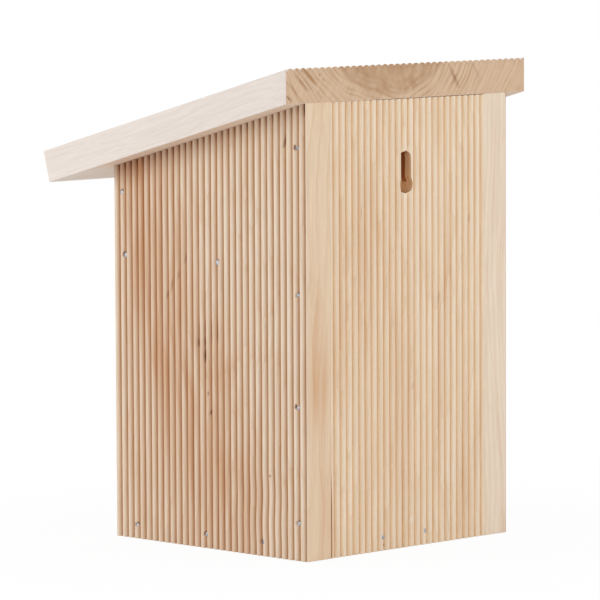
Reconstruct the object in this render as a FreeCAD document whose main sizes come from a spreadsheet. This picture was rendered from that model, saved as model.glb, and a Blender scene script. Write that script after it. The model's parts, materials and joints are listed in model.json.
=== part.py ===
"""Bee hotel: a nailed box of reeded softwood boards with a sloping roof, a drilled nest block
on a shelf, and a bay of bamboo canes and thin reeds below it.

Millimetres. The origin is the centre of the box's footprint, +Z is up, the open front
faces -Y and the back, which hangs on a wall by a keyhole, faces +Y.
"""
import FreeCAD, Part
import itertools
import math
import os
import Sketcher

# Driving sizes
SIZES = {
    # the box, over the crests of its ribs
    "box_width": 160.0,
    "box_depth": 150.0,
    "back_height": 247.0,
    "side_thickness": 19.0,
    "back_thickness": 18.0,
    "bottom_thickness": 15.0,
    # the roof, measured along its underside
    "roof_slope": 14.8,
    "roof_width": 188.0,
    "roof_length": 194.5,
    "roof_thickness": 18.0,
    # the reeding that is planed into one face of a board
    "rib_pitch": 4.9,
    "rib_rise": 1.9,
    "rib_crest": 0.5,
    "rib_radius": 2.5,
    "side_first_groove": 3.2,
    "back_first_groove": 1.7,
    "roof_first_groove": 1.8,
    # the keyhole that is routed into the back
    "keyhole_offset": 1.5,
    "keyhole_height": 199.8,
    "keyhole_entry": 10.0,
    "keyhole_slot": 7.4,
    "keyhole_travel": 14.8,
    "keyhole_lip": 4.7,
    "keyhole_depth": 7.7,
    # the shelf, and the nest block that stands on it
    "shelf_height": 150.5,
    "shelf_thickness": 15.0,
    "shelf_depth": 90.0,
    "block_height": 40.0,
    "block_depth": 88.0,
    "block_setback": 1.0,
    "nest_hole_depth": 74.0,
    "wide_hole": 8.0,
    "wide_hole_count": 3,
    "wide_hole_spacing": 36.0,
    "wide_hole_height": 14.0,
    "narrow_hole": 5.0,
    "narrow_hole_count": 4,
    "narrow_hole_spacing": 22.0,
    "narrow_hole_height": 28.0,
    # one wire nail
    "nail_length": 35.0,
    "nail_shank": 1.6,
    "nail_head": 2.8,
    "nail_head_thickness": 0.8,
    "nail_sink": 1.0,
    # where the nails go
    "back_nail_inset": 7.0,
    "back_nail_low": 20.4,
    "back_nail_drop": 24.4,
    "bottom_nail_end": 16.0,
    "shelf_nail_end": 8.4,
    "block_nail_inset": 5.6,
    "block_nail_rise": 27.4,
    "rear_nail_spread": 16.5,
    "rear_nail_offset": 3.7,
    "roof_nail_end": 30.0,
    "roof_nail_spread": 32.0,
    # the bamboo canes and the thin reeds
    "stout_stem": 22.0,
    "stout_bore": 9.5,
    "large_stem": 20.0,
    "large_bore": 8.0,
    "middle_stem": 18.0,
    "middle_bore": 6.5,
    "small_stem": 16.0,
    "small_bore": 5.5,
    "slim_stem": 13.0,
    "slim_bore": 4.5,
    "reed_stem": 8.0,
    "reed_bore": 3.6,
    "cane_gap": 0.3,
    "cane_setback": 7.0,
    "cane_unevenness": 4.0,
    "cane_node": 16.0,
}

# Shares of a span at which nails stand: between its two end nails, or from end to end
BACK_NAIL_SHARES = (0.31, 0.61)
BOTTOM_NAIL_SHARE = 0.56

ROOF_NAIL_SHARES = (0, 0.5, 1)

# Order in which canes of each width are laid into the bay
CANE_ORDER = ("stout", "small", "large", "middle", "slim")

# Share of a turn that spreads the uneven ends of the canes without a pattern
GOLDEN_SHARE = (math.sqrt(5) - 1) / 2

doc = FreeCAD.newDocument("bee_hotel")
sheet = doc.addObject("Spreadsheet::Sheet", "Sizes")
for row, (alias, number) in enumerate(SIZES.items(), start=1):
    sheet.set(f"A{row}", alias)
    sheet.set(f"B{row}", str(number))
    sheet.setAlias(f"B{row}", alias)
doc.recompute()

# Sizes that follow from the driving ones, as expressions
INNER_WIDTH = "(Sizes.box_width - 2 * Sizes.side_thickness)"
INNER_DEPTH = "(Sizes.box_depth - Sizes.back_thickness)"
SLOPE_RISE = "tan(Sizes.roof_slope)"
FRONT_HEIGHT = f"(Sizes.back_height - Sizes.box_depth * {SLOPE_RISE})"
SHELF_TOP = "(Sizes.shelf_height + Sizes.shelf_thickness)"
BLOCK_REAR = "(Sizes.block_setback + Sizes.block_depth)"
GROOVE_HALF = "(Sizes.rib_pitch - Sizes.rib_crest) / 2"


def value(expression):
    """The number that an expression on the sheet gives."""
    result = sheet.evalExpression(str(expression))
    return float(getattr(result, "Value", result))


def bind(thing, **links):
    """Ties properties to expressions; a double underscore in a name stands for a dot."""
    for name, expression in links.items():
        thing.setExpression(name.replace("__", "."), str(expression))


# Sketches

def sketch_on(body, name, role, turn=None, **offset):
    """A sketch on one of the body's own planes, turned in it and moved by expressions."""
    sketch = body.newObject("Sketcher::SketchObject", name)
    plane = next(item for item in body.Origin.OriginFeatures if item.Role == role)
    sketch.AttachmentSupport = [(plane, "")]
    sketch.MapMode = "FlatFace"
    if turn is not None:
        sketch.AttachmentOffset = FreeCAD.Placement(FreeCAD.Vector(), turn)
    bind(sketch, **{f"AttachmentOffset__Base__{axis}": place for axis, place in offset.items()})
    return sketch


def measure(sketch, kind, *ends_and_size):
    """Adds a dimension whose last argument is its expression."""
    *ends, expression = ends_and_size
    number = sketch.addConstraint(Sketcher.Constraint(kind, *ends, value(expression)))
    sketch.setExpression(f"Constraints[{number}]", str(expression))


def pin(sketch, curve, end, across, up):
    """Holds one point of a curve at two distances from the sketch's origin."""
    for kind, axis, place in (("DistanceX", -2, across), ("DistanceY", -1, up)):
        if place == 0:
            sketch.addConstraint(Sketcher.Constraint("PointOnObject", curve, end, axis))
        else:
            measure(sketch, kind, -1, 1, curve, end, place)


def close(sketch, *joints):
    """Joins ends of curves; a joint is curve, end, curve, end."""
    for joint in joints:
        sketch.addConstraint(Sketcher.Constraint("Coincident", *joint))


def polygon(sketch, *corners):
    """Draws a closed outline of straight sides through corners given as pairs of expressions."""
    spots = [FreeCAD.Vector(value(across), value(up), 0) for across, up in corners]
    for start, end in zip(spots, spots[1:] + spots[:1]):
        sketch.addGeometry(Part.LineSegment(start, end))
    sides = range(len(spots))
    close(sketch, *((side, 2, (side + 1) % len(spots), 1) for side in sides))
    for side, (across, up) in zip(sides, corners):
        pin(sketch, side, 1, across, up)


def rectangle(sketch, across, up):
    """Draws a rectangle from the sketch's origin."""
    polygon(sketch, (0, 0), (across, 0), (across, up), (0, up))


def circle(sketch, across, up, diameter):
    """Draws a circle round a point given by two expressions."""
    centre = FreeCAD.Vector(value(across), value(up), 0)
    curve = sketch.addGeometry(Part.Circle(centre, FreeCAD.Vector(0, 0, 1), value(diameter) / 2))
    measure(sketch, "Diameter", curve, diameter)
    pin(sketch, curve, 3, across, up)


def slot_outline(sketch, up, width, travel):
    """Draws a slot with a round top, from the origin's upright line across to its width."""
    half = value(width) / 2
    low = value(up)
    high = low + value(travel)
    foot_left = FreeCAD.Vector(0, low, 0)
    foot_right = FreeCAD.Vector(2 * half, low, 0)
    top_left = FreeCAD.Vector(0, high, 0)
    top_right = FreeCAD.Vector(2 * half, high, 0)
    centre = FreeCAD.Vector(half, high, 0)
    ring = Part.Circle(centre, FreeCAD.Vector(0, 0, 1), half)
    foot = sketch.addGeometry(Part.LineSegment(foot_left, foot_right))
    right = sketch.addGeometry(Part.LineSegment(foot_right, top_right))
    top = sketch.addGeometry(Part.ArcOfCircle(ring, 0, math.pi))
    left = sketch.addGeometry(Part.LineSegment(top_left, foot_left))
    close(sketch, (foot, 2, right, 1), (right, 2, top, 1), (top, 2, left, 1), (left, 2, foot, 1))
    pin(sketch, foot, 1, 0, up)
    pin(sketch, foot, 2, width, up)
    pin(sketch, top, 3, f"{width} / 2", f"{up} + {travel}")
    sketch.addConstraint(Sketcher.Constraint("Vertical", right))
    sketch.addConstraint(Sketcher.Constraint("Horizontal", top, 3, top, 1))
    sketch.addConstraint(Sketcher.Constraint("Horizontal", top, 3, top, 2))


def groove_outline(sketch, first, crest):
    """Draws the first groove between two ribs: two rounded flanks that meet in a narrow valley.

    first is the valley's place along the face and crest the level of the ribs' tops. The
    outline runs on above the crests by one rise, so that the cut leaves the face cleanly.
    """
    run = value(GROOVE_HALF)
    rise = value("Sizes.rib_rise")
    radius = value("Sizes.rib_radius")
    middle = value(first)
    level = value(crest)
    chord = math.hypot(run, rise)
    reach = math.sqrt(radius ** 2 - (chord / 2) ** 2)
    aside = run / 2 + reach * rise / chord
    below = rise / 2 + reach * run / chord
    steep = math.atan2(below - rise, aside)
    shallow = math.atan2(below, aside - run)
    upright = FreeCAD.Vector(0, 0, 1)
    left_centre = FreeCAD.Vector(middle - aside, level - below, 0)
    right_centre = FreeCAD.Vector(middle + aside, level - below, 0)
    left_ring = Part.Circle(left_centre, upright, radius)
    right_ring = Part.Circle(right_centre, upright, radius)
    left_crest = FreeCAD.Vector(middle - run, level, 0)
    right_crest = FreeCAD.Vector(middle + run, level, 0)
    lift = FreeCAD.Vector(0, rise, 0)
    left = sketch.addGeometry(Part.ArcOfCircle(left_ring, steep, shallow))
    right = sketch.addGeometry(Part.ArcOfCircle(right_ring, math.pi - shallow, math.pi - steep))
    right_up = sketch.addGeometry(Part.LineSegment(right_crest, right_crest + lift))
    lid = sketch.addGeometry(Part.LineSegment(right_crest + lift, left_crest + lift))
    left_down = sketch.addGeometry(Part.LineSegment(left_crest + lift, left_crest))
    close(sketch, (left, 1, right, 2), (right, 1, right_up, 1), (right_up, 2, lid, 1))
    close(sketch, (lid, 2, left_down, 1), (left_down, 2, left, 2))
    sketch.addConstraint(Sketcher.Constraint("Vertical", right_up))
    sketch.addConstraint(Sketcher.Constraint("Vertical", left_down))
    sketch.addConstraint(Sketcher.Constraint("Horizontal", lid))
    pin(sketch, left, 1, first, f"{crest} - Sizes.rib_rise")
    measure(sketch, "DistanceX", left, 2, left, 1, GROOVE_HALF)
    measure(sketch, "DistanceX", right, 2, right, 1, GROOVE_HALF)
    measure(sketch, "DistanceY", left, 1, left, 2, "Sizes.rib_rise")
    measure(sketch, "DistanceY", right, 2, right, 1, "Sizes.rib_rise")
    measure(sketch, "DistanceY", right_up, 1, right_up, 2, "Sizes.rib_rise")
    measure(sketch, "Radius", left, "Sizes.rib_radius")
    measure(sketch, "Radius", right, "Sizes.rib_radius")


# Features

def new_body(name):
    """An empty body for one piece."""
    return doc.addObject("PartDesign::Body", name)


def pad(body, sketch, length, both_ways=False):
    """Raises a sketch into a solid."""
    feature = body.newObject("PartDesign::Pad", f"{body.Name}_pad")
    feature.Profile = sketch
    feature.SideType = "Symmetric" if both_ways else "One side"
    bind(feature, Length=length)


def pocket(body, sketch, depth=None, reverse=False):
    """Cuts a sketch out of a solid, to a depth or right through both ways."""
    feature = body.newObject("PartDesign::Pocket", f"{sketch.Name}_cut")
    feature.Profile = sketch
    if depth is None:
        feature.Type = "ThroughAll"
        feature.SideType = "Symmetric"
    else:
        feature.Reversed = reverse
        bind(feature, Length=depth)
    return feature


def row_of(body, feature, sketch, spacing, count):
    """Repeats a cut along its sketch's own across direction."""
    doc.recompute()
    pattern = body.newObject("PartDesign::LinearPattern", f"{feature.Name}_row")
    pattern.Originals = [feature]
    pattern.Direction = (sketch, ["H_Axis"])
    pattern.Mode = "Spacing"
    bind(pattern, Offset=spacing, Occurrences=count)
    body.Tip = pattern


def reed_face(body, sketch, first, crest, face_width):
    """Planes the ribs into one face of a board, up to the last groove that still meets it."""
    groove_outline(sketch, first, crest)
    count = f"floor(({face_width} - {first} + {GROOVE_HALF}) / Sizes.rib_pitch) + 1"
    row_of(body, pocket(body, sketch), sketch, "Sizes.rib_pitch", count)


# The box

def side_panel(name, hand):
    """A side: board with a sloping top end, reeded outside. hand is +1 at +X, -1 at -X."""
    body = new_body(f"{name}_blank")
    inner = f"{INNER_WIDTH} / 2"
    near = inner if hand > 0 else "-Sizes.box_width / 2"
    board = sketch_on(body, f"{name}_outline", "YZ_Plane", x="-Sizes.box_depth / 2", z=near)
    polygon(board, (0, 0), ("Sizes.box_depth", 0), ("Sizes.box_depth", "Sizes.back_height"),
            (0, FRONT_HEIGHT))
    pad(body, board, "Sizes.side_thickness")
    outward = FreeCAD.Rotation(FreeCAD.Vector(1, 1, 0), 180)
    if hand < 0:
        outward = FreeCAD.Rotation(FreeCAD.Vector(0, 0, 1), 90)
    ribs = sketch_on(body, f"{name}_groove", "XY_Plane", outward,
                     x=f"{hand} * {inner}", y="-Sizes.box_depth / 2")
    reed_face(body, ribs, "Sizes.side_first_groove", "Sizes.side_thickness", "Sizes.box_depth")
    return body


def back_panel():
    """The back: board let in between the sides, reeded outside, with a routed keyhole.

    The keyhole's entry and its slot open on the face; behind the slot's lip the cut is as
    wide as the entry, so that a screw head slides up behind the lip.
    """
    body = new_body("back_panel_blank")
    board = sketch_on(body, "back_outline", "YZ_Plane", x=f"{INNER_DEPTH} - Sizes.box_depth / 2")
    inner_height = f"Sizes.back_height - Sizes.back_thickness * {SLOPE_RISE}"
    polygon(board, (0, 0), ("Sizes.back_thickness", 0), ("Sizes.back_thickness", "Sizes.back_height"),
            (0, inner_height))
    pad(body, board, INNER_WIDTH, both_ways=True)
    ribs = sketch_on(body, "back_groove", "XY_Plane",
                     x=f"-{INNER_WIDTH} / 2", y=f"{INNER_DEPTH} - Sizes.box_depth / 2")
    reed_face(body, ribs, "Sizes.back_first_groove", "Sizes.back_thickness", INNER_WIDTH)
    face = "-Sizes.box_depth / 2"
    entry = sketch_on(body, "keyhole_entry", "XZ_Plane", x="Sizes.keyhole_offset", z=face)
    circle(entry, 0, "Sizes.keyhole_height", "Sizes.keyhole_entry")
    pocket(body, entry, "Sizes.keyhole_depth", reverse=True)
    slot = sketch_on(body, "keyhole_slot", "XZ_Plane",
                     x="Sizes.keyhole_offset - Sizes.keyhole_slot / 2", z=face)
    slot_outline(slot, "Sizes.keyhole_height", "Sizes.keyhole_slot", "Sizes.keyhole_travel")
    pocket(body, slot, "Sizes.keyhole_depth", reverse=True)
    undercut = sketch_on(body, "keyhole_undercut", "XZ_Plane",
                         x="Sizes.keyhole_offset - Sizes.keyhole_entry / 2",
                         z=f"{face} + Sizes.keyhole_lip")
    slot_outline(undercut, "Sizes.keyhole_height", "Sizes.keyhole_entry", "Sizes.keyhole_travel")
    body.Tip = pocket(body, undercut, "Sizes.keyhole_depth - Sizes.keyhole_lip", reverse=True)
    return body


def flat_board(name, depth, height, thickness):
    """A plain board between the sides, from the open front back to its depth."""
    body = new_body(f"{name}_blank")
    board = sketch_on(body, f"{name}_outline", "XY_Plane",
                      x=f"-{INNER_WIDTH} / 2", y="-Sizes.box_depth / 2", z=height)
    rectangle(board, INNER_WIDTH, depth)
    pad(body, board, thickness)
    return body


def nest_block():
    """The nest block: timber between the sides, with two rows of blind holes in its front."""
    body = new_body("nest_block_blank")
    timber = sketch_on(body, "nest_block_outline", "XZ_Plane", x=f"-{INNER_WIDTH} / 2", y=SHELF_TOP,
                       z=f"Sizes.box_depth / 2 - {BLOCK_REAR}")
    rectangle(timber, INNER_WIDTH, "Sizes.block_height")
    pad(body, timber, "Sizes.block_depth")
    for row in ("wide", "narrow"):
        width, count = f"Sizes.{row}_hole", f"Sizes.{row}_hole_count"
        spacing, height = f"Sizes.{row}_hole_spacing", f"Sizes.{row}_hole_height"
        drill = sketch_on(body, f"{row}_nest_hole", "XZ_Plane", x=f"-({count} - 1) * {spacing} / 2",
                          y=SHELF_TOP, z="Sizes.box_depth / 2 - Sizes.block_setback")
        circle(drill, 0, height, width)
        row_of(body, pocket(body, drill, "Sizes.nest_hole_depth"), drill, spacing, count)
    return body


def roof():
    """The roof: board reeded on top along the slope, cut plumb at the back, square in front.

    It is drawn lying flat, from the rear edge of its underside, and then tilted up on the box.
    """
    body = new_body("roof_blank")
    board = sketch_on(body, "roof_outline", "YZ_Plane", x="-Sizes.roof_length")
    bevel = f"Sizes.roof_length + Sizes.roof_thickness * {SLOPE_RISE}"
    polygon(board, (0, 0), ("Sizes.roof_length", 0), (bevel, "Sizes.roof_thickness"),
            (0, "Sizes.roof_thickness"))
    pad(body, board, "Sizes.roof_width", both_ways=True)
    ribs = sketch_on(body, "roof_groove", "XZ_Plane", x="-Sizes.roof_width / 2")
    reed_face(body, ribs, "Sizes.roof_first_groove", "Sizes.roof_thickness", "Sizes.roof_width")
    body.Placement = FreeCAD.Placement(FreeCAD.Vector(), FreeCAD.Rotation(FreeCAD.Vector(1, 0, 0), 1))
    bind(body, Placement__Rotation__Angle="Sizes.roof_slope",
         Placement__Base__y="Sizes.box_depth / 2", Placement__Base__z="Sizes.back_height")
    return body


# The nails

def nail(name, turn, place, slope=None):
    """One wire nail and the hole that it makes: a flat round head on a plain shank.

    place gives where a point of the nail's axis lies, for a depth below the ribs' crests.
    The head is driven a little below the crests, so its hole is deeper than the head.
    """
    def rod(part, width, depth, length):
        piece = doc.addObject("Part::Cylinder", f"{name}_{part}")
        piece.Placement = FreeCAD.Placement(FreeCAD.Vector(), turn)
        across, along, up = place(depth)
        bind(piece, Radius=f"{width} / 2", Height=length, Placement__Base__x=across,
             Placement__Base__y=along, Placement__Base__z=up)
        if slope is not None:
            bind(piece, Placement__Rotation__Angle=slope)
        return piece

    sink, thickness = "Sizes.nail_sink", "Sizes.nail_head_thickness"
    shank = rod("shank", "Sizes.nail_shank", sink, "Sizes.nail_length")
    head = rod("head", "Sizes.nail_head", sink, thickness)
    dent = rod("dent", "Sizes.nail_head", "0", f"{sink} + {thickness}")
    whole = doc.addObject("Part::Fuse", name)
    whole.Base, whole.Tool = head, shank
    hole = doc.addObject("Part::Fuse", f"{name}_hole")
    hole.Base, hole.Tool = dent, shank
    return whole, hole


def side_nails(name, hand):
    """Ten nails through a side: four into the back, three into the bottom, two into the shelf
    and one into the nest block."""
    turn = FreeCAD.Rotation(FreeCAD.Vector(0, 1, 0), -90 * hand)
    front, rear = "-Sizes.box_depth / 2", "Sizes.box_depth / 2"
    lowest = "Sizes.back_nail_low"
    highest = "(Sizes.back_height - Sizes.back_nail_drop)"
    between = [f"{lowest} + {share} * ({highest} - {lowest})" for share in BACK_NAIL_SHARES]
    first = f"({front} + Sizes.bottom_nail_end)"
    last = f"({front} + {INNER_DEPTH} - Sizes.bottom_nail_end)"
    middle = f"{first} + {BOTTOM_NAIL_SHARE} * ({last} - {first})"
    shelf_middle = "Sizes.shelf_height + Sizes.shelf_thickness / 2"
    spots = [(f"{rear} - Sizes.back_nail_inset", height) for height in (lowest, *between, highest)]
    spots += [(along, "Sizes.bottom_thickness / 2") for along in (first, middle, last)]
    spots += [(f"{front} + Sizes.shelf_nail_end", shelf_middle)]
    spots += [(f"{front} + Sizes.shelf_depth - Sizes.shelf_nail_end", shelf_middle)]
    spots += [(f"{front} + Sizes.block_nail_inset", f"{SHELF_TOP} + Sizes.block_nail_rise")]

    def nail_at(number, spot):
        def place(depth):
            return f"{hand} * (Sizes.box_width / 2 - ({depth}))", *spot
        return nail(f"{name}_{number}", turn, place)

    return [nail_at(number, spot) for number, spot in enumerate(spots, start=1)]


def rear_nails():
    """Two nails through the back into the bottom board."""
    turn = FreeCAD.Rotation(FreeCAD.Vector(1, 0, 0), 90)

    def nail_at(number, hand):
        across = f"Sizes.rear_nail_offset + {hand} * Sizes.rear_nail_spread"

        def place(depth):
            return across, f"Sizes.box_depth / 2 - ({depth})", "Sizes.bottom_thickness / 2"
        return nail(f"rear_nail_{number}", turn, place)

    return [nail_at(number, hand) for number, hand in enumerate((-1, 1), start=1)]


def roof_nails():
    """Eight nails square through the roof: three into each side and two into the back."""
    turn = FreeCAD.Rotation(FreeCAD.Vector(1, 0, 0), 180)
    side_line = "(Sizes.box_width - Sizes.side_thickness) / 2"
    side_run = "(Sizes.box_depth / cos(Sizes.roof_slope) - 2 * Sizes.roof_nail_end)"
    spots = [(f"{hand} * {side_line}", f"(Sizes.roof_nail_end + {share} * {side_run})")
             for hand in (-1, 1) for share in ROOF_NAIL_SHARES]
    spots += [(f"{hand} * Sizes.roof_nail_spread", "(Sizes.back_thickness / 2)") for hand in (-1, 1)]

    def nail_at(number, across, down):
        def place(depth):
            level = f"(Sizes.roof_thickness - ({depth}))"
            along = f"-{down} * cos(Sizes.roof_slope) - {level} * sin(Sizes.roof_slope)"
            up = f"-{down} * sin(Sizes.roof_slope) + {level} * cos(Sizes.roof_slope)"
            return across, f"Sizes.box_depth / 2 + ({along})", f"Sizes.back_height + ({up})"
        return nail(f"roof_nail_{number}", turn, place, "180 + Sizes.roof_slope")

    return [nail_at(number, *spot) for number, spot in enumerate(spots, start=1)]


# The canes and reeds

def resting_places(radius, laid, width, height):
    """Every centre at which a round of this radius touches two of: the floor, the walls and the
    rounds laid so far, without cutting into any of them."""
    left, right = radius, width - radius
    found = [(left, radius), (right, radius)]
    for number, (x, z, other) in enumerate(laid):
        reach = radius + other
        if abs(radius - z) <= reach:
            run = math.sqrt(reach ** 2 - (radius - z) ** 2)
            found += [(x - run, radius), (x + run, radius)]
        for wall in (left, right):
            if abs(wall - x) <= reach:
                found.append((wall, z + math.sqrt(reach ** 2 - (wall - x) ** 2)))
        for x2, z2, other2 in laid[:number]:
            reach2 = radius + other2
            span = math.hypot(x2 - x, z2 - z)
            if span >= reach + reach2:
                continue
            along = (reach ** 2 - reach2 ** 2 + span ** 2) / (2 * span)
            off = math.sqrt(max(reach ** 2 - along ** 2, 0))
            ux, uz = (x2 - x) / span, (z2 - z) / span
            for hand in (-1, 1):
                found.append((x + along * ux - hand * off * uz, z + along * uz + hand * off * ux))
    slack = 1e-6
    return [(x, z) for x, z in found
            if left - slack <= x <= right + slack and radius - slack <= z <= height - radius + slack
            and all(math.hypot(x - x2, z - z2) >= radius + other - slack for x2, z2, other in laid)]


def fill_bay():
    """Lays canes into the bay one after another, each in the lowest place that is free, then reeds
    into what gaps are left. Gives each stem's kind and the centre of its section."""
    width = value(INNER_WIDTH)
    floor = value("Sizes.bottom_thickness")
    height = value("Sizes.shelf_height") - floor
    laid = []
    stems = []

    def lay(kind):
        radius = value(f"(Sizes.{kind}_stem + Sizes.cane_gap) / 2")
        free = resting_places(radius, laid, width, height)
        if free:
            x, z = min(free, key=lambda place: (round(place[1], 3), place[0]))
            laid.append((x, z, radius))
            stems.append((kind, x - width / 2, z + floor))
        return bool(free)

    order = itertools.cycle(CANE_ORDER)
    while lay(next(order)):
        pass
    for kind in (*CANE_ORDER, "reed"):
        while lay(kind):
            pass
    return stems


def stem(name, number, kind, x, z):
    """One cut stem lying front to back: hollow from the front, closed at the rear by its node.

    Its front end is set back from the box's front, a little unevenly from stem to stem.
    """
    uneven = round(number * GOLDEN_SHARE % 1, 3)
    lie = FreeCAD.Rotation(FreeCAD.Vector(1, 0, 0), 90)
    rear = "Sizes.box_depth / 2 - Sizes.back_thickness - Sizes.cane_gap"
    setback = f"Sizes.cane_setback + {uneven} * Sizes.cane_unevenness"
    length = f"{INNER_DEPTH} - Sizes.cane_gap - ({setback})"
    rods = []
    for width, start in (("stem", rear), ("bore", f"{rear} - Sizes.cane_node")):
        rod = doc.addObject("Part::Cylinder", f"{name}_{width}")
        rod.Placement = FreeCAD.Placement(FreeCAD.Vector(x, 0, z), lie)
        bind(rod, Radius=f"Sizes.{kind}_{width} / 2", Height=length, Placement__Base__y=start)
        rods.append(rod)
    hollow = doc.addObject("Part::Cut", name)
    hollow.Base, hollow.Tool = rods
    return hollow


# Putting it together

def group(name, members):
    """Several like pieces under one name."""
    compound = doc.addObject("Part::Compound", name)
    compound.Links = members
    return compound


def nailed(name, board):
    """A board with the holes that its nails make."""
    whole = doc.addObject("Part::Cut", name)
    whole.Base, whole.Tool = board, nail_holes
    return whole


nails = {
    "right_side_nails": side_nails("right_side_nail", 1),
    "left_side_nails": side_nails("left_side_nail", -1),
    "rear_nails": rear_nails(),
    "roof_nails": roof_nails(),
}
nail_groups = [group(name, [whole for whole, hole in pairs]) for name, pairs in nails.items()]
nail_holes = group("nail_holes", [hole for pairs in nails.values() for whole, hole in pairs])
boards = {
    "right_side_panel": side_panel("right_side", 1),
    "left_side_panel": side_panel("left_side", -1),
    "back_panel": back_panel(),
    "bottom_board": flat_board("bottom", INNER_DEPTH, 0, "Sizes.bottom_thickness"),
    "shelf": flat_board("shelf", "Sizes.shelf_depth", "Sizes.shelf_height", "Sizes.shelf_thickness"),
    "nest_block": nest_block(),
    "roof": roof(),
}
subparts = [nailed(name, board) for name, board in boards.items()] + nail_groups

reeds = []
for number, (kind, x, z) in enumerate(fill_bay(), start=1):
    if kind == "reed":
        reeds.append(stem(f"thin_reed_{number}", number, kind, x, z))
    else:
        subparts.append(stem(f"bamboo_cane_{number:02d}", number, kind, x, z))
if reeds:
    subparts.append(group("thin_reeds", reeds))

doc.recompute()
for thing in doc.Objects:
    if "Invalid" in thing.State or "Error" in thing.State:
        raise RuntimeError(f"{thing.Name} failed: {thing.State}")
os.makedirs("parts", exist_ok=True)
for subpart in subparts:
    if subpart.Shape.isNull() or not subpart.Shape.isValid():
        raise RuntimeError(f"{subpart.Label} has no valid shape")
for subpart in subparts:
    subpart.Shape.exportStep(f"parts/{subpart.Label}.step")
    print(subpart.Label, len(subpart.Shape.Solids), round(subpart.Shape.Volume, 1))
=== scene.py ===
"""A bee hotel: a reeded pine box with a sloping roof, a drilled block on a shelf, and bamboo canes."""
import json
import math

import bpy
import numpy as np
from mathutils import Matrix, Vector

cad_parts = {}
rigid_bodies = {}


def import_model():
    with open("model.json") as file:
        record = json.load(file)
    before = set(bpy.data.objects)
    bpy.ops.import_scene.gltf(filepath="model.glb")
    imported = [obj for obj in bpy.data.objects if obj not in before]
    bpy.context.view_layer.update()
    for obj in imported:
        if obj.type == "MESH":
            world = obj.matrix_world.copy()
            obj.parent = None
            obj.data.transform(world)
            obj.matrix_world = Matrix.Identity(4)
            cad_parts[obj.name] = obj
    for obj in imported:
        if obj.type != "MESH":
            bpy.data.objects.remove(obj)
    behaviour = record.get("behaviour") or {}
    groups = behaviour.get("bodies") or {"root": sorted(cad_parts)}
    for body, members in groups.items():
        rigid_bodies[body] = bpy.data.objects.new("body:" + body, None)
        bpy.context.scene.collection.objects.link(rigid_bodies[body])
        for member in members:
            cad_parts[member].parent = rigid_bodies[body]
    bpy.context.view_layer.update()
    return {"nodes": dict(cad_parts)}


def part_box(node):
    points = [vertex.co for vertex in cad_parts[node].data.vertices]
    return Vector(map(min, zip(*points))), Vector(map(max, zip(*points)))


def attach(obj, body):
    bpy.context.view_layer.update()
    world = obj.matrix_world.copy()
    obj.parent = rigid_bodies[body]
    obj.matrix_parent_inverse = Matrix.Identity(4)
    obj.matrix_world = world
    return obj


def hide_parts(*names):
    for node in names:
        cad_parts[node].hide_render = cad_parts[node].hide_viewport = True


for leftover in list(bpy.data.objects):
    bpy.data.objects.remove(leftover)
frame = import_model()


# Side panels
# Two pine boards, reeded on the outer face by a moulding cutter and sawn to the roof's slope at the top.
# They are nailed to the back, the bottom, the shelf and the block. Their plain rear edges show by the back.
MM = 0.001
EDGE_EASE = 0.25 * MM
EDGE_STEPS = 3
EDGE_SHARES = np.array([0.0, 0.27, 0.6])
BOARD_STEP = 5 * MM
LEAST_STEP = 0.02 * MM
LEAST_LENGTH = 1e-9
SHARP_ANGLE = math.radians(38)
ROOF_SLOPE = math.radians(14.8)
RIB_PITCH = 4.843 * MM
RIB_RISE = 1.9 * MM
RIB_CREST = 0.5 * MM
RIB_RADIUS = 2.5 * MM
RIB_TONE = 0.07
CREST_LOSS = 0.12 * MM
# The power that spreads a groove's painted shade up its flanks.
GROOVE_SHADE_SPREAD = 0.85
# Columns of the mesh round a groove, as shares of half a pitch: close where the flank is steep.
GROOVE_SHARES = np.array([-1, -0.7, -0.45, -0.25, -0.1, 0, 0.1, 0.25, 0.45, 0.7])
RIGHT_FIRST_GROOVE = 3.7 * MM
LEFT_FIRST_GROOVE = 4.8 * MM
# The painted highlight on the arris along the rear edge, and the rows of the mesh that carry it.
ARRIS_WIDTH = 0.8 * MM
ARRIS_SHARE = 0.45
ARRIS_ROWS = np.array([-1.3, -0.7]) * MM
ROWS_APART = 0.25 * MM
# A nail presses a dent: its depth, its radius at the flat bottom and at the rim, how far it strays from the
# nail, and the closer rows and columns of the mesh round it.
NAIL_DENT = 1.4 * MM
NAIL_DENT_SPAN = (0.65 * MM, 1.4 * MM)
NAIL_DENT_ASIDE = 0.3 * MM
DENT_ROWS = np.array([-2.2, -1.3, -0.9, -0.5, -0.15, 0.15, 0.5, 0.9, 1.3, 2.2]) * MM
DENT_COLUMNS = np.array([-1.45, -1.05, -0.65, 0.65, 1.05, 1.45]) * MM
# The line of painted shade beside a nail, also sunk a little: its place from the nail in mm, then its length,
# width, strength and drift.
NAIL_RIM_ASIDE = 1.0
NAIL_RIM_ABOVE = 0.7
NAIL_RIM_LINE = (3.0, 0.65, 1.1, 0.2)
FLAW_DEPTH = 0.8 * MM
FLAW_ROWS = np.linspace(-0.5, 0.5, 5)
WANDER_WAVES = 1.6
# Under the roof a painted shade darkens the grooves, and the whole face too, most of all at the front.
ROOF_SHADE = 0.5
ROOF_SHADE_REACH = 7 * MM
EAVE_SHADE = 0.35
EAVE_REACH = 16 * MM
EAVE_FADE = 0.7
# The span that a noise mostly keeps to, and how far it sways the growth rings, in mm for a span of 1.
NOISE_SPAN = (0.3, 0.7)
RING_SWAY = 28.0


def linear(code):
    """An sRGB hex colour as linear red, green, blue and an alpha of 1."""
    part = np.array([int(code[k:k + 2], 16) for k in (1, 3, 5)]) / 255
    part = np.where(part <= 0.04045, part / 12.92, ((part + 0.055) / 1.055) ** 2.4)
    return (*part.tolist(), 1.0)


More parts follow.
